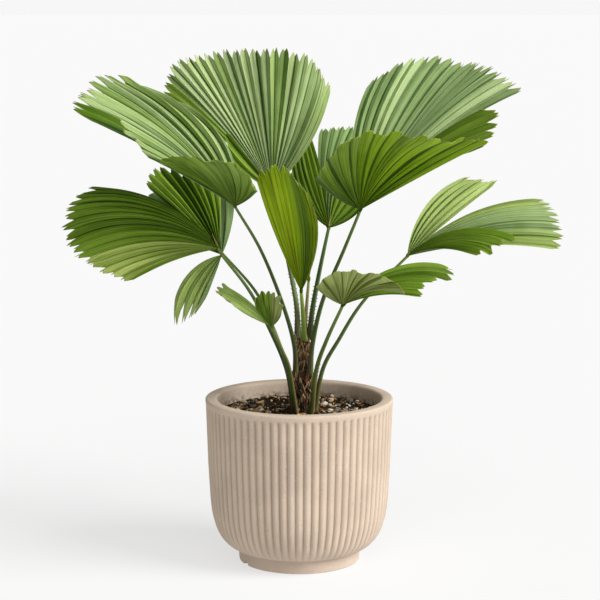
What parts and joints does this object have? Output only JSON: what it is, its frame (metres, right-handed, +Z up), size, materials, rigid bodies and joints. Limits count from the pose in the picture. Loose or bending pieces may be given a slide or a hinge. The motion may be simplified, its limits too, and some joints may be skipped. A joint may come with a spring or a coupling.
{
  "type": "potted chinese fan palm",
  "caption": "Young fan palm with pleated round leaves on long stalks over a short fibrous trunk, planted in a fluted stoneware pot with a plain foot.",
  "frame": {"origin": "centre of the pot's flat underside", "axes": "+Z up from the underside, X along the widest spread of the leaves with +X on the viewer's right, and the viewer looks along +Y"},
  "size_m": [0.7864, 0.563, 0.814],
  "materials": {
    "pot": "matt sand-coloured stoneware with fine specks",
    "soil": "dark potting mix with pale pumice grains, bark chips and a few pebbles",
    "trunk": "brown, ringed, with old leaf bases and coarse fibre",
    "stalk": "smooth green, darker and purplish towards the foot, with small thorns",
    "blade": "pleated leaf, satin, deep green underneath and paler grey green on the upper side",
    "young_blade": "pleated young leaf, satin, bright yellow green"
  },
  "bodies": {
    "root": {"pot": "pot", "soil": "soil", "trunk": "trunk", "top_stalk": "stalk", "top_blade": "blade", "upper_left_stalk": "stalk", "upper_left_blade_back": "blade", "upper_left_blade_front": "blade", "right_stalk": "stalk", "right_blade_back": "blade", "right_blade_front": "blade", "back_stalk": "stalk", "back_blade": "blade", "far_right_stalk": "stalk", "far_right_blade": "blade", "left_stalk": "stalk", "left_blade_back": "blade", "left_blade_front": "blade", "back_left_stalk": "stalk", "back_left_blade": "blade", "back_left_blade_hanging": "blade", "young_stalk": "stalk", "young_blade": "young_blade", "low_right_stalk": "stalk", "low_right_blade_back": "blade", "low_right_blade_front": "blade", "low_left_stalk": "stalk", "low_left_blade_back": "blade", "low_left_blade_front": "blade", "spear_stalk": "stalk", "spear_blade": "young_blade"}
  },
  "joints": []
}
